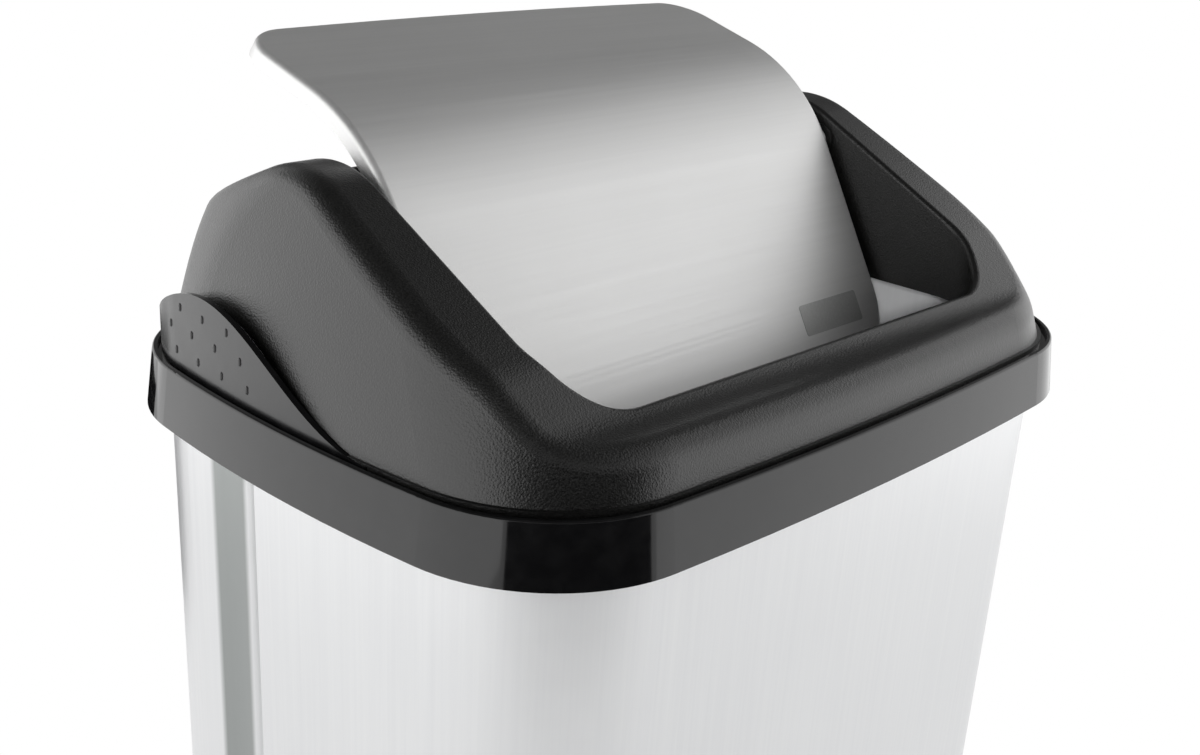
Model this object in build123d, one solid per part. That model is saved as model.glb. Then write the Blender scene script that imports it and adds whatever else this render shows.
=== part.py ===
from build123d import *
from math import atan2, cos, pi, radians, sin
import os

# Swing-lid trash can, in millimetres. X runs along the wide front, the front faces -Y and Z is up.
# The origin is on the floor, under the middle of the body. Heights marked "over the collar" are
# measured upwards from the collar's top edge.

# Plan of the collar at its top edge, with bowed sides
collar_length = 405.0
collar_width = 300.0
collar_corner = 70.0
narrow_side_bow = 761.0
wide_side_bow = 2103.0

# Collar
collar_top = 585.0
collar_height = 26.0
collar_flare = 3.2
collar_wall = 2.2
collar_edge_round = 1.0
web_drop = 2.0
web_thickness = 1.7
web_reach = 8.5

# Body
body_inset = 7.3
body_taper = 0.0099
body_wall = 2.2
base_round = 12.0
foot_width = 20.0
foot_height = 3.0
lid_clearance = 0.6
lip_drop = 9.0
lip_thickness = 2.0

# Flute in each narrow side of the body
flute_place = 44.0
flute_width = 32.0
flute_depth = 4.0

# Hood
hood_inset = 5.5
hood_corner = 70.0
hood_lean = 0.19
hood_curve = 0.0006
hood_rear_lean = 0.05
hood_corner_growth = 0.28
shoulder_start = 58.0
shoulder_curve = 0.022
hood_sections = 4
hood_wall = 2.5
hood_rim_round = 12.0
hood_inner_round = 2.5
bead_height = 3.0
bead_width = 0.9

# Side profile of the hood's rim: places along Y and heights over the collar, with their bends
front_rail_top = 20.0
front_step_setback = 6.8
front_step_length = 25.3
front_step_top = 41.0
ridge_place = 25.4
ridge_top = 99.8
rear_step_lead = 10.2
rear_rail_top = 61.0
rail_bend = 26.0
step_bend = 41.0
ridge_bend = 54.0
rear_bend = 25.0

# Throat that the flap swings in, placed by the rails and cheeks round it
cheek_width = 23.1
front_rail_depth = 40.0
rear_rail_depth = 23.0
throat_front_corner = 34.0
throat_rear_corner = 28.0
throat_bottom = 8.0

# Flap, sized in its closed position
flap_side_gap = 3.5
flap_front_gap = 0.8
flap_rear_gap = 3.8
flap_apex_place = 34.1
flap_apex_top = 94.6
flap_front_slope = 22.4
flap_rear_slope = 21.8
flap_bend = 95.0
flap_thickness = 2.0
flap_flange = 8.0
flap_front_lip = 12.0
flap_front_corner = 33.0
flap_rear_corner = 22.0
flap_rear_crown = 3.0
flap_edge_round = 3.0
flap_open_angle = 38.0

# Pivot of the flap
pivot_place = 4.2
pivot_top = 75.0
pin_radius = 3.25
pin_head_radius = 4.2
pin_head = 2.0
pin_clearance = 0.05
pin_end_gap = 1.0
ear_wall = 2.6
ear_thickness = 4.0
bush_wall = 2.0
bush_flange_radius = 8.0
bush_flange = 1.5
bush_length = 8.0
boss_wall = 3.0

# Grip tabs, with places measured along the collar's outline from the middle of a narrow side
tab_inset = 4.0
tab_thickness = 2.5
tab_middle = 58.0
tab_half_span = 108.0
tab_peak = 37.0
window_peak = 31.0
window_margin = 1.5
window_drop = 4.0
tab_clearance = 0.3
hump_steps = 12

# Raised bumps of a grip tab, in three staggered rows
bump_radius = 1.1
bump_half_height = 2.0
bump_proud = 0.6
bump_pitch = 19.5
bump_top_row = 28.0
bump_middle_row = 18.5
bump_bottom_row = 8.0
bump_middle_row_shift = -0.5

# Bumper pegs under the flap's rear corners
bumper_radius = 2.2
bumper_back = 76.0
bumper_side = 5.4
bumper_reach = 9.8

half_length = collar_length / 2
half_width = collar_width / 2
web_top = collar_top - web_drop
rim_top = web_top - web_thickness
hood_ceiling = collar_top + ridge_top + hood_wall
far = 2 * collar_length
ridge_lean = hood_lean * ridge_top + hood_curve * ridge_top**2
throat_half_width = half_length - hood_inset - ridge_lean - cheek_width
throat_front = front_rail_depth - half_width
throat_rear = half_width - rear_rail_depth
front_step_start = throat_front - front_step_setback
front_step_end = front_step_start + front_step_length
rear_step = throat_rear - rear_step_lead
flap_front = throat_front + flap_front_gap
flap_rear = throat_rear - flap_rear_gap
flap_front_length = (flap_apex_place - flap_front) / cos(radians(flap_front_slope))
flap_rear_length = (flap_rear - flap_apex_place) / cos(radians(flap_rear_slope))

# Faces whose normal rises less than this are walls, and the others look upwards
wall_rise = 0.45
upright_rise = 0.01


# Outlines
def corner_centre(half_x, half_y, corner):
    side = Vector(half_x - narrow_side_bow, 0)
    front = Vector(0, half_y - wide_side_bow)
    to_front = front - side
    reach_side = narrow_side_bow - corner
    reach_front = wide_side_bow - corner
    span = to_front.length
    along = (reach_side**2 - reach_front**2 + span**2) / (2 * span)
    across = (reach_side**2 - along**2) ** 0.5
    unit = to_front / span
    normal = Vector(-unit.Y, unit.X)
    first = side + unit * along + normal * across
    second = side + unit * along - normal * across
    return max(first, second, key=lambda point: point.X + point.Y)


def bowed_face(half_x, half_y, corner, height, shift=0.0):
    centre = corner_centre(half_x, half_y, corner)
    side = Vector(half_x - narrow_side_bow, 0)
    front = Vector(0, half_y - wide_side_bow)
    start = side + (centre - side).normalized() * narrow_side_bow
    end = front + (centre - front).normalized() * wide_side_bow
    middle = centre + (start + end - centre * 2).normalized() * corner

    def at(point, sign_x, sign_y):
        return (point.X * sign_x, point.Y * sign_y + shift, height)

    side_middle = Vector(half_x, 0)
    front_middle = Vector(0, half_y)
    edges = [
        ThreePointArc(at(start, 1, -1), at(side_middle, 1, 1), at(start, 1, 1)),
        ThreePointArc(at(start, 1, 1), at(middle, 1, 1), at(end, 1, 1)),
        ThreePointArc(at(end, 1, 1), at(front_middle, 1, 1), at(end, -1, 1)),
        ThreePointArc(at(end, -1, 1), at(middle, -1, 1), at(start, -1, 1)),
        ThreePointArc(at(start, -1, 1), at(side_middle, -1, 1), at(start, -1, -1)),
        ThreePointArc(at(start, -1, -1), at(middle, -1, -1), at(end, -1, -1)),
        ThreePointArc(at(end, -1, -1), at(front_middle, 1, -1), at(end, 1, -1)),
        ThreePointArc(at(end, 1, -1), at(middle, 1, -1), at(start, 1, -1)),
    ]
    return Face(Wire(edges))


def collar_face(inset, height):
    return bowed_face(half_length - inset, half_width - inset, collar_corner - inset, height)


def collar_prism(inset, low, high):
    return extrude(collar_face(inset, low), high - low, dir=(0, 0, 1))


def collar_loft(low_inset, low, high_inset, high):
    return loft([collar_face(low_inset, low), collar_face(high_inset, high)], ruled=True)


# Point of the collar's outline at a length along it from the middle of the right narrow side
def outline_point(length, inset):
    centre = corner_centre(half_length, half_width, collar_corner)
    side = Vector(half_length - narrow_side_bow, 0)
    turn = atan2(centre.Y - side.Y, centre.X - side.X)
    side_length = turn * narrow_side_bow
    if length <= side_length:
        angle = length / narrow_side_bow
        return side + Vector(cos(angle), sin(angle)) * (narrow_side_bow - inset)
    angle = turn + (length - side_length) / collar_corner
    return centre + Vector(cos(angle), sin(angle)) * (collar_corner - inset)


# Body
def body_inset_at(height):
    return body_inset + body_taper * (collar_top - collar_height - height)


def flute(grow, low, high):
    radius = (flute_width**2 / 4 + flute_depth**2) / (2 * flute_depth)
    circles = []
    for height in (low, high):
        wall = outline_point(flute_place, body_inset_at(height))
        centre = (wall.X + radius - flute_depth, wall.Y, height)
        circles.append(Face(Wire(Circle(radius + grow).edge().moved(Location(centre)))))
    right = loft(circles, ruled=True)
    return [right, mirror(right, Plane.YZ)]


def make_body():
    outer = collar_loft(body_inset_at(0), 0, body_inset_at(rim_top), rim_top)
    outer = outer - flute(0, -foot_height, collar_top)
    outer = fillet(outer.faces().sort_by(Axis.Z)[0].edges(), base_round)
    inner_low = body_wall
    inner_high = collar_top
    inner = collar_loft(
        body_inset_at(inner_low) + body_wall, inner_low,
        body_inset_at(inner_high) + body_wall, inner_high,
    )
    inner = inner - flute(body_wall, -foot_height, collar_top + foot_height)
    inner = fillet(inner.faces().sort_by(Axis.Z)[0].edges(), base_round - body_wall)
    foot_inset = body_inset_at(0) + foot_width
    inner = inner - collar_prism(foot_inset - body_wall, 0, foot_height + body_wall)
    lip_outer = collar_wall + lid_clearance
    lip_low = rim_top - lip_drop
    lip = collar_prism(lip_outer, lip_low, rim_top)
    lip = fillet(lip.faces().sort_by(Axis.Z)[-1].edges(), lip_thickness / 2)
    lip = lip - collar_prism(lip_outer + lip_thickness, lip_low, rim_top - lip_thickness)
    lip = lip - collar_prism(body_inset_at(rim_top) + body_wall / 2, lip_low, collar_top)
    body = outer - inner + lip
    return body - collar_prism(foot_inset, 0, foot_height)


# Collar
def make_collar():
    low = collar_top - collar_height
    wall = collar_loft(-collar_flare, low, 0, collar_top)
    wall = fillet(wall.faces().sort_by(Axis.Z)[-1].edges(), collar_edge_round)
    wall = wall - collar_loft(collar_wall - collar_flare, low, collar_wall, collar_top)
    web = collar_prism(collar_wall / 2, rim_top, web_top)
    web = web - collar_prism(web_reach, rim_top, web_top)
    return wall + web


# Hood
def hood_face(shrink, height):
    lean = hood_lean * height + hood_curve * height**2
    half_x = half_length - hood_inset - shrink - lean
    front = half_width - hood_inset - shrink - lean
    shoulder = shoulder_curve * max(height - shoulder_start, 0) ** 2
    rear = half_width - hood_inset - shrink - hood_rear_lean * height - shoulder
    corner = hood_corner - shrink + hood_corner_growth * height
    return bowed_face(half_x, (front + rear) / 2, corner, collar_top + height, (rear - front) / 2)


def rim_profile(drop):
    points = (
        (throat_front - half_width, front_rail_top),
        (front_step_start, front_rail_top),
        (front_step_end, front_step_top),
        (ridge_place, ridge_top),
        (rear_step, rear_rail_top),
        (throat_rear + half_width, rear_rail_top),
    )
    lowered = [(place, collar_top + height - drop) for place, height in points]
    return FilletPolyline(*lowered, radius=(rail_bend, step_bend, ridge_bend, rear_bend))


def above_rim(drop):
    rim = rim_profile(drop)
    start = rim @ 0
    end = rim @ 1
    ceiling = collar_top + collar_length
    closing = Polyline((end.X, end.Y), (end.X, ceiling), (start.X, ceiling), (start.X, start.Y))
    region = make_face([*rim.edges(), *closing.edges()])
    return extrude(Plane.YZ * region, far, both=True)


# Edges between the rim's upward faces and the walls beside them
def rim_edges(block, walls):
    upward = block.faces().filter_by(lambda face: face.normal_at().Z > wall_rise)
    wall_edges = walls.edges()
    return [edge for edge in upward.edges() if edge in wall_edges]


def leaning_block(shrink, base):
    top = ridge_top + hood_wall
    rise = (top - base) / hood_sections
    sections = [hood_face(shrink, base + rise * step) for step in range(hood_sections + 1)]
    block = loft(sections) - above_rim(shrink)
    walls = block.faces().filter_by(lambda face: abs(face.normal_at().Z) < wall_rise)
    return fillet(rim_edges(block, walls), hood_rim_round - shrink)


def throat_prism(grow, low):
    side = throat_half_width + grow
    front = throat_front - grow
    rear = throat_rear + grow
    radii = [throat_front_corner + grow] * 2 + [throat_rear_corner + grow] * 2
    points = ((-side, front), (side, front), (side, rear), (-side, rear))
    outline = FilletPolyline(*points, radius=radii, close=True)
    floor = Plane.XY.offset(low)
    return extrude(floor * make_face(outline.edges()), hood_ceiling - low + hood_wall)


def pivot_cylinder(radius, inner, outer):
    plane = Plane((inner, pivot_place, collar_top + pivot_top), z_dir=(1, 0, 0))
    return extrude(plane * Circle(radius), outer - inner)


# Solid under the hump-shaped curve that the grip tab and its window share. A drop lowers its ends.
def hump(peak, half_span, drop):
    start = outline_point(tab_middle - tab_half_span, tab_inset)
    end = outline_point(tab_middle + tab_half_span, tab_inset)
    along = (end - start).normalized()
    plane = Plane((0, 0, web_top), x_dir=(along.X, along.Y, 0), z_dir=(along.Y, -along.X, 0))
    points = []
    for step in range(hump_steps + 1):
        offset = half_span * (2 * step / hump_steps - 1)
        place = outline_point(tab_middle + offset, tab_inset)
        height = (peak + drop) * (0.5 + 0.5 * cos(pi * offset / half_span)) - drop
        points.append((place.X * along.X + place.Y * along.Y, height + web_drop))
    curve = Spline(*points)
    low = -drop
    closing = Polyline(points[-1], (points[-1][0], low), (points[0][0], low), points[0])
    region = make_face([curve.edge(), *closing.edges()])
    return extrude(plane * region, collar_length)


def make_hood():
    outer = leaning_block(0, -web_drop)
    bead = extrude(hood_face(-bead_width, -web_drop), bead_height, dir=(0, 0, 1))
    hollow = leaning_block(hood_wall, -web_drop - hood_wall)
    hollow = hollow - throat_prism(hood_wall, collar_top + throat_bottom)
    outer = outer - throat_prism(0, 0)
    throat_walls = outer.faces().filter_by(lambda face: abs(face.normal_at().Z) < upright_rise)
    outer = fillet(rim_edges(outer, throat_walls), hood_inner_round)
    hood = outer + (bead - leaning_block(0, -web_drop)) - hollow
    bush_radius = pin_radius + pin_clearance + bush_wall
    boss = pivot_cylinder(bush_radius + boss_wall, throat_half_width, throat_half_width + bush_length)
    bore = pivot_cylinder(bush_radius, throat_half_width, throat_half_width + bush_length)
    window = window_block()
    seat = tab_seat()
    for side in (1, -1):
        hood = hood + flip(boss, side) - flip(bore, side) - flip(window, side) - flip(seat, side)
    return hood


# Room that the tab itself takes in the hood's skin, with a clearance all round
def tab_seat():
    low = web_top - window_drop
    band = collar_prism(-collar_flare, low, hood_ceiling)
    band = band - collar_prism(tab_inset + tab_thickness + tab_clearance, low, hood_ceiling)
    return band & hump(tab_peak + tab_clearance, tab_half_span + window_margin, 0)


# Opening through the hood's skin behind the tab
def window_block():
    low = web_top - window_drop
    depth = tab_inset + tab_thickness + hood_lean * tab_peak * 2
    band = collar_prism(-collar_flare, low, hood_ceiling) - collar_prism(depth, low, hood_ceiling)
    return band & hump(window_peak, tab_half_span + window_margin, window_drop)


def flip(shape, side):
    return shape if side > 0 else mirror(shape, Plane.YZ)


# Upright oval bump, sunk into the tab's face so that only its crown stands proud
def bump(length, height):
    place = outline_point(length, tab_inset + bump_radius - bump_proud)
    reach = bump_half_height - bump_radius
    low = (place.X, place.Y, collar_top + height - reach)
    high = (place.X, place.Y, collar_top + height + reach)
    shank = extrude(Plane(low) * Circle(bump_radius), 2 * reach)
    return [shank, Pos(low) * Sphere(bump_radius), Pos(high) * Sphere(bump_radius)]


# Grip tab of the right side
def make_tab():
    band = collar_prism(tab_inset, web_top, collar_top + tab_peak)
    band = band - collar_prism(tab_inset + tab_thickness, web_top, collar_top + tab_peak)
    tab = band & hump(tab_peak, tab_half_span, 0)
    rows = (
        (bump_top_row, 3, 0),
        (bump_middle_row, 4, 0),
        (bump_bottom_row, 4, bump_middle_row_shift / 2),
    )
    for height, count, shift in rows:
        for step in range(count):
            offset = bump_pitch * (step - (count - 1) / 2 + shift)
            tab = tab + bump(tab_middle + offset, height)
    return tab


# Flap, closed, then swung open about the pivot
def flap_curve(rear_drop, apex_drop, front_drop):
    front = radians(flap_front_slope)
    rear = radians(flap_rear_slope)
    points = (
        (
            flap_rear,
            flap_apex_top - flap_rear_length * sin(rear) - rear_drop / cos(rear),
        ),
        (flap_apex_place, flap_apex_top - apex_drop / cos(front)),
        (
            flap_front,
            flap_apex_top - flap_front_length * sin(front) - front_drop / cos(front),
        ),
    )
    lifted = [(place, collar_top + height) for place, height in points]
    return FilletPolyline(*lifted, radius=flap_bend - apex_drop)


def flap_region(upper, lower):
    start = Line(upper @ 1, lower @ 1)
    end = Line(upper @ 0, lower @ 0)
    region = make_face([*upper.edges(), *lower.edges(), start, end])
    return extrude(Plane.YZ * region, half_length, both=True)


def flap_plan(shrink):
    side = throat_half_width - flap_side_gap - shrink
    front = flap_front + shrink
    rear = flap_rear - shrink
    corner = rear - flap_rear_crown
    edges = [
        Line((-side, front), (side, front)),
        Line((side, front), (side, corner)),
        ThreePointArc((side, corner), (0, rear), (-side, corner)),
        Line((-side, corner), (-side, front)),
    ]
    face = make_face(edges)
    face = fillet(face.vertices().sort_by(Axis.Y)[:2], flap_front_corner - shrink)
    face = fillet(face.vertices().sort_by(Axis.Y)[-2:], flap_rear_corner - shrink)
    return extrude(Plane.XY.offset(collar_top - far / 2) * face, far)


def swing(shape):
    axis = Axis((0, pivot_place, collar_top + pivot_top), (1, 0, 0))
    return shape.rotate(axis, flap_open_angle)


def make_flap():
    top = flap_curve(0, 0, 0)
    bottom = flap_curve(flap_flange, flap_flange, flap_front_lip)
    skin = flap_region(top, bottom) & flap_plan(0)
    upper = skin.faces().filter_by(lambda face: face.normal_at().Z > wall_rise)
    walls = skin.faces().filter_by(lambda face: abs(face.normal_at().Z) < wall_rise)
    wall_edges = walls.edges()
    skin = fillet([edge for edge in upper.edges() if edge in wall_edges], flap_edge_round)
    under = flap_curve(flap_thickness, flap_thickness, flap_thickness)
    front_low = (under @ 1).Y - collar_top
    closing = Polyline(under @ 1, ((under @ 1).X, front_low), ((under @ 0).X, front_low), under @ 0)
    hollow_region = make_face([*under.edges(), *closing.edges()])
    hollow = extrude(Plane.YZ * hollow_region, half_length, both=True) & flap_plan(flap_thickness)
    flap = skin - hollow
    ear_outer = throat_half_width - flap_side_gap
    ear = pivot_cylinder(pin_radius + ear_wall, ear_outer - ear_thickness, ear_outer)
    bore = pivot_cylinder(pin_radius, ear_outer - ear_thickness, ear_outer)
    for side in (1, -1):
        flap = flap + flip(ear, side) - flip(bore, side)
    return swing(flap)


# Pin of the right side, with its head inside the flap's ear
def make_pin():
    ear_inner = throat_half_width - flap_side_gap - ear_thickness
    head = pivot_cylinder(pin_head_radius, ear_inner - pin_head, ear_inner)
    shank = pivot_cylinder(pin_radius, ear_inner, throat_half_width + bush_length - pin_end_gap)
    return head + shank


# Bush of the right side, with its flange inside the throat
def make_bush():
    sleeve_radius = pin_radius + pin_clearance + bush_wall
    sleeve = pivot_cylinder(sleeve_radius, throat_half_width, throat_half_width + bush_length)
    flange = pivot_cylinder(bush_flange_radius, throat_half_width - bush_flange, throat_half_width)
    hole = pivot_cylinder(
        pin_radius + pin_clearance, throat_half_width - bush_flange, throat_half_width + bush_length
    )
    return sleeve + flange - hole


# Bumper peg of the right side
def make_bumper():
    slope = radians(flap_rear_slope)
    place = flap_apex_place + bumper_back * cos(slope)
    height = collar_top + flap_apex_top - bumper_back * sin(slope)
    side = throat_half_width - flap_side_gap - bumper_side
    down = Vector(0, -sin(slope), -cos(slope))
    start = Vector(side, place, height) + down * flap_thickness
    peg = extrude(Plane(start, z_dir=down) * Circle(bumper_radius), bumper_reach - flap_thickness)
    return swing(peg)


nodes = {"bin_body": make_body(), "collar": make_collar(), "hood": make_hood(), "flap": make_flap()}
pairs = {
    "pivot_pin": make_pin(),
    "pivot_bush": make_bush(),
    "grip_tab": make_tab(),
    "flap_bumper": make_bumper(),
}
for name, shape in pairs.items():
    nodes[name + "_left"] = flip(shape, -1)
    nodes[name + "_right"] = shape

os.makedirs("parts", exist_ok=True)
for name, shape in nodes.items():
    export_step(shape, "parts/" + name + ".step")
    print(name, round(shape.volume), shape.is_valid)
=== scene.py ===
import math

import bmesh
import bpy
from mathutils import Matrix, Vector


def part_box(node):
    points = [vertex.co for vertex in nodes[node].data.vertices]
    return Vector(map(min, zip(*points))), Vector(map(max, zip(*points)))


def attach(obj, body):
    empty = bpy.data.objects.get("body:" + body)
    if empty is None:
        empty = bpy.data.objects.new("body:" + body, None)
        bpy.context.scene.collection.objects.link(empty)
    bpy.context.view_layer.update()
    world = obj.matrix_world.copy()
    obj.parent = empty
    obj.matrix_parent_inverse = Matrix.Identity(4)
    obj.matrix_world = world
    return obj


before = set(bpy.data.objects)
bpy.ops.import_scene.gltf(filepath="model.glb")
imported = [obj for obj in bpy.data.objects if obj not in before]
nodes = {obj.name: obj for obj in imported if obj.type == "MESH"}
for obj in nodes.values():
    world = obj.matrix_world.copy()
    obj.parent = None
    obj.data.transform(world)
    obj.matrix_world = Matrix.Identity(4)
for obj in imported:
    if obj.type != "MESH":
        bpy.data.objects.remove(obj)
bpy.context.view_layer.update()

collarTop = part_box("collar")[1].z
print("frame loaded,", len(nodes), "nodes")


# Small helpers for node trees
def newMaterial(name):
    mat = bpy.data.materials.new(name)
    mat.use_nodes = True
    tree = mat.node_tree
    return mat, tree, tree.nodes["Principled BSDF"]


def addNode(tree, kind, **settings):
    node = tree.nodes.new(kind)
    for key, value in settings.items():
        setattr(node, key, value)
    return node


def objectCoords(tree, scale=(1, 1, 1)):
    coords = addNode(tree, "ShaderNodeTexCoord")
    mapping = addNode(tree, "ShaderNodeMapping")
    mapping.inputs["Scale"].default_value = scale
    tree.links.new(coords.outputs["Object"], mapping.inputs["Vector"])
    return mapping.outputs["Vector"]


def noise(tree, vector, scale, detail, rough=0.5):
    node = addNode(tree, "ShaderNodeTexNoise")
    node.inputs["Scale"].default_value = scale
    node.inputs["Detail"].default_value = detail
    node.inputs["Roughness"].default_value = rough
    tree.links.new(vector, node.inputs["Vector"])
    return node.outputs["Fac"]


def cells(tree, vector, scale, smoothness):
    node = addNode(tree, "ShaderNodeTexVoronoi", feature="SMOOTH_F1")
    node.inputs["Scale"].default_value = scale
    node.inputs["Smoothness"].default_value = smoothness
    tree.links.new(vector, node.inputs["Vector"])
    return node.outputs["Distance"]


def ramp(tree, value, stops):
    node = addNode(tree, "ShaderNodeValToRGB")
    elements = node.color_ramp.elements
    while len(elements) < len(stops):
        elements.new(0.5)
    for element, (place, shade) in zip(elements, stops):
        element.position = place
        element.color = (*shade, 1) if isinstance(shade, tuple) else (shade, shade, shade, 1)
    tree.links.new(value, node.inputs["Fac"])
    return node.outputs["Color"]


def remap(tree, value, low, high, start, end):
    node = addNode(tree, "ShaderNodeMapRange")
    node.inputs["From Min"].default_value = start
    node.inputs["From Max"].default_value = end
    node.inputs["To Min"].default_value = low
    node.inputs["To Max"].default_value = high
    tree.links.new(value, node.inputs["Value"])
    return node.outputs["Result"]


def mathNode(tree, operation, first, second=0):
    node = addNode(tree, "ShaderNodeMath", operation=operation)
    for socket, value in zip(node.inputs, (first, second)):
        if isinstance(value, (int, float)):
            socket.default_value = value
        else:
            tree.links.new(value, socket)
    return node.outputs["Value"]


def blend(tree, first, part, second):
    # the first pattern makes up this part of the sum, and the second the rest
    heavy = mathNode(tree, "MULTIPLY", first, part)
    light = mathNode(tree, "MULTIPLY", second, 1 - part)
    return mathNode(tree, "ADD", heavy, light)


def rays(tree, *kinds):
    # 1 for the rays of these kinds, 0 for the others
    path = addNode(tree, "ShaderNodeLightPath")
    seen = path.outputs[kinds[0]]
    for kind in kinds[1:]:
        seen = mathNode(tree, "MAXIMUM", seen, path.outputs[kind])
    return seen


# What each finish does with its patterns
def tint(tree, pattern, finish):
    start, end = finish["tintSpan"]
    return ramp(tree, pattern, [(start, finish["deep"]), (end, finish["pale"])])


def roughen(tree, shader, pattern, rough, span):
    tree.links.new(remap(tree, pattern, *rough, *span), shader.inputs["Roughness"])


def emboss(tree, shader, height, bump):
    node = addNode(tree, "ShaderNodeBump")
    node.inputs["Strength"].default_value = bump[0]
    node.inputs["Distance"].default_value = bump[1]
    tree.links.new(height, node.inputs["Height"])
    tree.links.new(node.outputs["Normal"], shader.inputs["Normal"])


# Body: silver coat with a faint upright brushing, and painted shade along the flute of each narrow
# side, standing in for the dark reflection there
bodyFinish = {
    "pale": (0.785, 0.79, 0.795),
    "deep": (0.74, 0.745, 0.755),
    "tintSpan": (0.35, 0.65),  # values of the pattern that the colours spread over
    "metallic": 0.72,
    "rough": (0.33, 0.40),
    "roughSpan": (0.3, 0.7),
    "bump": (0.03, 0.0001),  # strength, and depth in metres
    "brush": (420, 420, 5),  # strokes run up the wall
    "strokes": (1, 4, 0.6),  # scale, detail and roughness of the noise
    "drift": (7, 3),
    "scuffs": (60, 5, 0.65),
    "strokeTint": 0.6,  # the strokes' part in the colour, beside the drift
    "strokeWear": 0.7,  # their part in the roughness, beside the scuffs
    # colour of the painted shade in each flute, in place of a dark reflection
    "paintedFluteShade": (0.33, 0.345, 0.34),
    "fluteMiddle": 0.050,  # of the painted shade, along Y
    "fluteReach": 0.012,
    "fluteFade": 0.004,
    "sideStart": 0.13,  # the painted shade stays on the narrow sides, from here outwards along X
    "sideEnd": 0.14,
}


# Painted shade: darkens the base colour in a band along each flute, standing in for the dark reflection
# on its rear slope
def paintFluteShade(tree, colour):
    place = addNode(tree, "ShaderNodeSeparateXYZ")
    tree.links.new(objectCoords(tree), place.inputs["Vector"])
    offset = mathNode(tree, "SUBTRACT", place.outputs["Y"], bodyFinish["fluteMiddle"])
    away = mathNode(tree, "ABSOLUTE", offset)
    reach = bodyFinish["fluteReach"]
    within = remap(tree, away, 1, 0, reach - bodyFinish["fluteFade"], reach)
    aside = mathNode(tree, "ABSOLUTE", place.outputs["X"])
    sideways = remap(tree, aside, 0, 1, bodyFinish["sideStart"], bodyFinish["sideEnd"])
    mix = addNode(tree, "ShaderNodeMix", data_type="RGBA")
    tree.links.new(mathNode(tree, "MULTIPLY", within, sideways), mix.inputs["Factor"])
    tree.links.new(colour, mix.inputs["A"])
    mix.inputs["B"].default_value = (*bodyFinish["paintedFluteShade"], 1)
    return mix.outputs["Result"]


def satinSilverCoat():
    mat, tree, shader = newMaterial("satinSilverCoat")
    plain = objectCoords(tree)
    strokes = noise(tree, objectCoords(tree, bodyFinish["brush"]), *bodyFinish["strokes"])
    drift = noise(tree, plain, *bodyFinish["drift"])
    scuffs = noise(tree, plain, *bodyFinish["scuffs"])
    colour = tint(tree, blend(tree, strokes, bodyFinish["strokeTint"], drift), bodyFinish)
    # the flutes' painted shade goes into the base colour
    tree.links.new(paintFluteShade(tree, colour), shader.inputs["Base Color"])
    wear = blend(tree, strokes, bodyFinish["strokeWear"], scuffs)
    roughen(tree, shader, wear, bodyFinish["rough"], bodyFinish["roughSpan"])
    shader.inputs["Metallic"].default_value = bodyFinish["metallic"]
    emboss(tree, shader, strokes, bodyFinish["bump"])
    return mat


# Collar and tabs: gloss black, with a light orange-peel ripple and fine handling smears
glossFinish = {
    "deep": (0.006, 0.006, 0.0065),
    "pale": (0.011, 0.011, 0.0115),  # where it is smeared
    "tintSpan": (0.4, 0.75),
    "specular": 0.5,
    "collarRough": (0.05, 0.10),
    "tabRough": (0.20, 0.26),  # the gripped plates are duller
    "roughSpan": (0.3, 0.7),
    "bump": (0.04, 0.001),
    "ripple": (22, 2),
    "smears": (130, 4, 0.6),
}


def glossBlackPlastic(name, rough):
    mat, tree, shader = newMaterial(name)
    coords = objectCoords(tree)
    ripple = noise(tree, coords, *glossFinish["ripple"])
    smears = noise(tree, coords, *glossFinish["smears"])
    tree.links.new(tint(tree, smears, glossFinish), shader.inputs["Base Color"])
    roughen(tree, shader, smears, rough, glossFinish["roughSpan"])
    shader.inputs["Specular IOR Level"].default_value = glossFinish["specular"]
    emboss(tree, shader, ripple, glossFinish["bump"])
    return mat


# Hood and bushes: matt black with a leathery mould grain
grainFinish = {
    "deep": (0.003, 0.003, 0.0028),
    "pale": (0.020, 0.020, 0.0192),
    "tintSpan": (0.4, 0.7),
    "specular": 0.7,
    "rough": (0.28, 0.38),
    "roughSpan": (0.3, 0.7),
    "bump": (0.55, 0.0002),
    "grain": (1200, 0.6),  # scale and smoothness of the cells
    "specks": (1400, 3, 0.6),
    "drift": (12, 3),
    "driftTint": 0.3,  # the drift's part in the colour, beside the specks
    "speckHeight": 0.5,  # beside the grain's height of 1
}


def grainedBlackPlastic():
    mat, tree, shader = newMaterial("grainedBlackPlastic")
    coords = objectCoords(tree)
    grain = cells(tree, coords, *grainFinish["grain"])
    specks = noise(tree, coords, *grainFinish["specks"])
    drift = noise(tree, coords, *grainFinish["drift"])
    colour = tint(tree, blend(tree, drift, grainFinish["driftTint"], specks), grainFinish)
    tree.links.new(colour, shader.inputs["Base Color"])
    roughen(tree, shader, specks, grainFinish["rough"], grainFinish["roughSpan"])
    shader.inputs["Specular IOR Level"].default_value = grainFinish["specular"]
    speckled = mathNode(tree, "MULTIPLY", specks, grainFinish["speckHeight"])
    emboss(tree, shader, mathNode(tree, "ADD", grain, speckled), grainFinish["bump"])
    return mat


# Flap: satin silver with faint strokes along its length
flapFinish = {
    "pale": (0.79, 0.79, 0.785),
    "deep": (0.74, 0.74, 0.735),
    "tintSpan": (0.35, 0.65),
    "metallic": 0.65,
    "rough": (0.42, 0.50),
    "roughSpan": (0.3, 0.7),
    "bump": (0.02, 0.0001),
    "brush": (5, 500, 500),  # strokes run along the wide side
    "strokes": (1, 3, 0.55),
    "drift": (8, 3),
    "strokeTint": 0.5,  # the strokes' part in the colour, beside the drift
}


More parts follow.
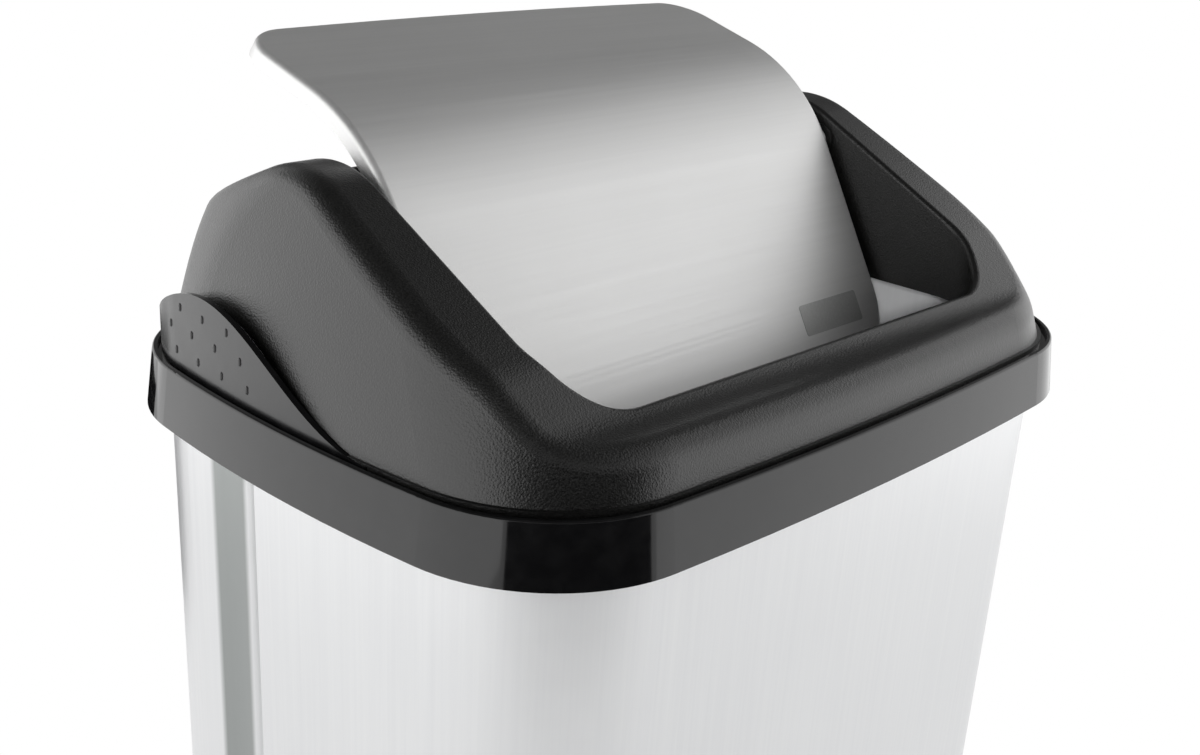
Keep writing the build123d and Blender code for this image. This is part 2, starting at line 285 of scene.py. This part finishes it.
def satinSilverFlap():
    mat, tree, shader = newMaterial("satinSilverFlap")
    strokes = noise(tree, objectCoords(tree, flapFinish["brush"]), *flapFinish["strokes"])
    drift = noise(tree, objectCoords(tree), *flapFinish["drift"])
    colour = tint(tree, blend(tree, strokes, flapFinish["strokeTint"], drift), flapFinish)
    tree.links.new(colour, shader.inputs["Base Color"])
    roughen(tree, shader, strokes, flapFinish["rough"], flapFinish["roughSpan"])
    shader.inputs["Metallic"].default_value = flapFinish["metallic"]
    emboss(tree, shader, strokes, flapFinish["bump"])
    return mat


# Small pieces: pins of natural nylon, rubber pegs and the bare plate on the flap
nylonFinish = {
    "deep": (0.60, 0.59, 0.55),
    "pale": (0.70, 0.69, 0.65),
    "tintSpan": (0.3, 0.7),
    "metallic": 0,
    "rough": (0.35, 0.5),
    "roughSpan": (0, 1),
    "bump": (0.1, 0.0001),
    "grain": (700, 2),
}
rubberFinish = {
    "deep": 0.012,
    "pale": 0.022,
    "tintSpan": (0.3, 0.7),
    "metallic": 0,
    "rough": (0.6, 0.8),
    "roughSpan": (0, 1),
    "bump": (0.2, 0.0002),
    "grain": (2200, 2),
}
plateFinish = {
    "deep": (0.46, 0.465, 0.46),
    "pale": (0.52, 0.525, 0.52),
    "tintSpan": (0.35, 0.7),
    "metallic": 0.6,
    "rough": (0.38, 0.5),
    "roughSpan": (0, 1),
    "bump": (0.05, 0.0001),
    "grain": (900, 3),
}


def fineGrained(name, finish):
    mat, tree, shader = newMaterial(name)
    grain = noise(tree, objectCoords(tree), *finish["grain"])
    tree.links.new(tint(tree, grain, finish), shader.inputs["Base Color"])
    roughen(tree, shader, grain, finish["rough"], finish["roughSpan"])
    shader.inputs["Metallic"].default_value = finish["metallic"]
    emboss(tree, shader, grain, finish["bump"])
    return mat


def dress(nodeName, material):
    mesh = nodes[nodeName].data
    mesh.materials.clear()
    mesh.materials.append(material)


silverCoat = satinSilverCoat()
glossBlack = glossBlackPlastic("glossBlackPlastic", glossFinish["collarRough"])
tabBlack = glossBlackPlastic("tabBlackPlastic", glossFinish["tabRough"])
grainBlack = grainedBlackPlastic()
flapSilver = satinSilverFlap()
nylon = fineGrained("nylonWhite", nylonFinish)
rubber = fineGrained("rubberBlack", rubberFinish)

dress("bin_body", silverCoat)
dress("collar", glossBlack)
dress("hood", grainBlack)
dress("flap", flapSilver)
for side in ("left", "right"):
    dress("grip_tab_" + side, tabBlack)
    dress("pivot_pin_" + side, nylon)
    dress("pivot_bush_" + side, grainBlack)
    dress("flap_bumper_" + side, rubber)
print("materials on", len(nodes), "nodes")

# Bare plate on the flap's front panel, near its lower right corner
plate = {
    "apexPlace": 0.0157,  # where the flap's two panels would meet, along Y
    "apexRise": 0.1089,  # the same point, over the collar's top edge
    "slope": 60.4,  # of the front panel, in the open position
    "start": 0.0785,  # along X
    "end": 0.1260,
    "top": 0.1175,  # down the panel from the apex
    "bottom": 0.1333,
    "thickness": 0.00025,
    "corner": 0.0015,
    "cornerSteps": 4,
}


def rise(edge):
    return abs(edge.verts[0].co.z - edge.verts[1].co.z)


def layPlate():
    slope = math.radians(plate["slope"])
    down = Vector((0, -math.cos(slope), -math.sin(slope)))
    out = Vector((0, -math.sin(slope), math.cos(slope)))
    apex = Vector((0, plate["apexPlace"], collarTop + plate["apexRise"]))
    width = plate["end"] - plate["start"]
    length = plate["bottom"] - plate["top"]
    middle = apex + down * (plate["top"] + length / 2) + Vector((plate["start"] + width / 2, 0, 0))
    bm = bmesh.new()
    bmesh.ops.create_cube(bm, size=1)
    bmesh.ops.scale(bm, vec=(width, length, plate["thickness"]), verts=bm.verts)
    upright = [edge for edge in bm.edges if rise(edge) > plate["thickness"] / 2]
    bmesh.ops.bevel(
        bm, geom=upright, offset=plate["corner"], offset_type="OFFSET",
        affect="EDGES", segments=plate["cornerSteps"], profile=0.5, material=-1,
    )
    turn = Matrix((Vector((1, 0, 0)), -down, out)).transposed().to_4x4()
    lift = Matrix.Translation(middle + out * plate["thickness"] / 2)
    bmesh.ops.transform(bm, matrix=lift @ turn, verts=bm.verts)
    mesh = bpy.data.meshes.new("flap_plate")
    bm.to_mesh(mesh)
    bm.free()
    mesh.materials.append(fineGrained("plateFilm", plateFinish))
    piece = bpy.data.objects.new("flap_plate", mesh)
    bpy.context.scene.collection.objects.link(piece)
    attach(piece, "flap")


layPlate()
print("plate on the flap")

# Camera, from the photograph's viewing angle
cameraView = {
    "eye": (-0.511285, -0.454578, 0.229869),  # from the middle of the collar's top edge
    "azimuth": -47.363,
    "elevation": 20.5226,
    "roll": 3.4089,
    "lens": 45.068,
    "sensor": 36,
}


def aimCamera():
    turn = math.radians(cameraView["azimuth"])
    lift = math.radians(cameraView["elevation"])
    roll = math.radians(cameraView["roll"])
    back = Vector((math.sin(turn) * math.cos(lift), -math.cos(turn) * math.cos(lift), math.sin(lift)))
    right = Vector((0, 0, 1)).cross(back).normalized()
    up = back.cross(right)
    rolledRight = right * math.cos(roll) + up * math.sin(roll)
    rolledUp = up * math.cos(roll) - right * math.sin(roll)
    camera = bpy.data.objects.new("camera", bpy.data.cameras.new("camera"))
    bpy.context.scene.collection.objects.link(camera)
    camera.data.sensor_width = cameraView["sensor"]
    camera.data.lens = cameraView["lens"]
    rotation = Matrix((rolledRight, rolledUp, back)).transposed().to_4x4()
    place = Vector(cameraView["eye"]) + Vector((0, 0, collarTop))
    camera.matrix_world = Matrix.Translation(place) @ rotation
    bpy.context.scene.camera = camera


aimCamera()
print("camera set")

# Floor: pale, and plain white further out
floor = {
    "size": 12,
    "shade": 0.80,
    "rough": 0.9,
    "poolInner": 0.30,  # the floor keeps its shading inside this radius
    "poolOuter": 0.58,
    "poolLift": 0.62,  # share of plain white that the shaded floor keeps
}


def addStage(name, size, place, material):
    mesh = bpy.data.meshes.new(name)
    bm = bmesh.new()
    bmesh.ops.create_grid(bm, x_segments=1, y_segments=1, size=0.5)
    bmesh.ops.scale(bm, vec=(*size, 1), verts=bm.verts)
    bmesh.ops.transform(bm, matrix=place, verts=bm.verts)
    bm.to_mesh(mesh)
    bm.free()
    mesh.materials.append(material)
    piece = bpy.data.objects.new(name, mesh)
    bpy.context.scene.collection.objects.link(piece)
    return piece


def layFloor():
    mat, tree, shader = newMaterial("paleFloor")
    shade = floor["shade"]
    shader.inputs["Base Color"].default_value = (shade, shade, shade, 1)
    shader.inputs["Roughness"].default_value = floor["rough"]
    coords = addNode(tree, "ShaderNodeTexCoord")
    length = addNode(tree, "ShaderNodeVectorMath", operation="LENGTH")
    tree.links.new(coords.outputs["Object"], length.inputs[0])
    fade = addNode(tree, "ShaderNodeMapRange", interpolation_type="SMOOTHSTEP")
    fade.inputs["From Min"].default_value = floor["poolInner"]
    fade.inputs["From Max"].default_value = floor["poolOuter"]
    fade.inputs["To Min"].default_value = floor["poolLift"]
    tree.links.new(length.outputs["Value"], fade.inputs["Value"])
    seen = rays(tree, "Is Camera Ray", "Is Glossy Ray", "Is Transmission Ray")
    white = addNode(tree, "ShaderNodeEmission")
    mix = addNode(tree, "ShaderNodeMixShader")
    tree.links.new(mathNode(tree, "MULTIPLY", fade.outputs["Result"], seen), mix.inputs["Fac"])
    tree.links.new(shader.outputs["BSDF"], mix.inputs[1])
    tree.links.new(white.outputs["Emission"], mix.inputs[2])
    tree.links.new(mix.outputs["Shader"], tree.nodes["Material Output"].inputs["Surface"])
    addStage("floor", (floor["size"], floor["size"]), Matrix.Identity(4), mat)


# Sky: white in every direction for the camera. For reflections and soft light it is the same white low
# down, and it darkens with height
sky = {
    "stops": [(0.3, 1.0), (0.5, 0.50), (0.68, 0.14), (0.85, 0.07)],  # sine of the height, and shade
    "background": (1, 1, 1, 1),
}


def lightWorld():
    world = bpy.data.worlds.new("studio")
    bpy.context.scene.world = world
    world.use_nodes = True
    tree = world.node_tree
    shaded = tree.nodes["Background"]
    shaded.inputs["Strength"].default_value = 1
    coords = addNode(tree, "ShaderNodeTexCoord")
    split = addNode(tree, "ShaderNodeSeparateXYZ")
    tree.links.new(coords.outputs["Generated"], split.inputs["Vector"])
    tree.links.new(ramp(tree, split.outputs["Z"], sky["stops"]), shaded.inputs["Color"])
    plain = addNode(tree, "ShaderNodeBackground")
    plain.inputs["Color"].default_value = sky["background"]
    mix = addNode(tree, "ShaderNodeMixShader")
    tree.links.new(rays(tree, "Is Camera Ray", "Is Transmission Ray"), mix.inputs["Fac"])
    tree.links.new(shaded.outputs["Background"], mix.inputs[1])
    tree.links.new(plain.outputs["Background"], mix.inputs[2])
    tree.links.new(mix.outputs["Shader"], tree.nodes["World Output"].inputs["Surface"])


# Soft panels and dark or grey cards, each upright over a line between two points of the floor
leftPanel = {"start": (-1.10, -0.47), "end": (-0.20, 1.10), "low": 0.32, "high": 1.05, "glow": 0.80}
rightPanel = {"start": (0.29, -1.06), "end": (1.25, 0.12), "low": 0.22, "high": 2.10, "glow": 0.52}
darkCard = {"start": (-1.06, -0.50), "end": (0.24, -1.10), "low": 0.24, "high": 0.95, "shade": 0.004}
rearCard = {"start": (1.18, 0.21), "end": (0.17, 1.19), "low": 0.70, "high": 2.30, "shade": 0.20}
backCard = {"start": (0.25, 0.90), "end": (-0.26, 0.90), "low": 0.02, "high": 0.33, "shade": 0.004}


def standUpright(board):
    # the board's place, facing the object, and its width and height
    start = Vector((*board["start"], board["low"]))
    end = Vector((*board["end"], board["low"]))
    height = board["high"] - board["low"]
    middle = (start + end) / 2 + Vector((0, 0, height / 2))
    along = (end - start).normalized()
    outward = Vector((middle.x, middle.y, 0))
    normal = along.cross(Vector((0, 0, 1)))
    if normal.dot(outward) < 0:
        along, normal = -along, -normal
    turn = Matrix((along, Vector((0, 0, 1)), normal)).transposed().to_4x4()
    return Matrix.Translation(middle) @ turn, (end - start).length, height


def addPanel(name, panel):
    place, width, height = standUpright(panel)
    data = bpy.data.lights.new(name, "AREA")
    data.shape = "RECTANGLE"
    data.size = width
    data.size_y = height
    data.energy = panel["glow"] * math.pi * width * height
    lamp = bpy.data.objects.new(name, data)
    lamp.matrix_world = place
    lamp.visible_camera = False
    bpy.context.scene.collection.objects.link(lamp)


def addCard(name, card):
    # only reflections see a card
    mat, tree, shader = newMaterial(name)
    shade = card["shade"]
    shader.inputs["Base Color"].default_value = (shade, shade, shade, 1)
    shader.inputs["Roughness"].default_value = 1
    shader.inputs["Specular IOR Level"].default_value = 0
    place, width, height = standUpright(card)
    piece = addStage(name, (width, height), place, mat)
    piece.visible_camera = False
    piece.visible_diffuse = False
    piece.visible_shadow = False
    piece.visible_transmission = False


# Snooted lamp that lights only the inside of the body, through the open mouth
mouthLamp = {
    "place": (-0.60, -0.52, 0.85),
    "aim": (0.19, -0.02, 0.57),
    "size": 0.04,
    "watts": 55,
    "beam": 8,  # degrees
    "edge": 0.6,  # softness of the beam's edge
}


def addMouthLamp():
    data = bpy.data.lights.new("mouthLamp", "SPOT")
    data.shadow_soft_size = mouthLamp["size"]
    data.energy = mouthLamp["watts"]
    data.spot_size = math.radians(mouthLamp["beam"])
    data.spot_blend = mouthLamp["edge"]
    lamp = bpy.data.objects.new("mouthLamp", data)
    place = Vector(mouthLamp["place"])
    turn = (place - Vector(mouthLamp["aim"])).to_track_quat("Z", "Y").to_matrix().to_4x4()
    lamp.matrix_world = Matrix.Translation(place) @ turn
    lamp.visible_glossy = False
    bpy.context.scene.collection.objects.link(lamp)
    lit = bpy.data.collections.new("litByMouthLamp")
    lit.objects.link(nodes["bin_body"])
    lamp.light_linking.receiver_collection = lit


layFloor()
lightWorld()
addPanel("leftPanel", leftPanel)
addPanel("rightPanel", rightPanel)
addMouthLamp()
addCard("darkCard", darkCard)
addCard("backCard", backCard)
addCard("rearCard", rearCard)
bpy.context.scene.view_settings.view_transform = "Standard"
print("stage set")
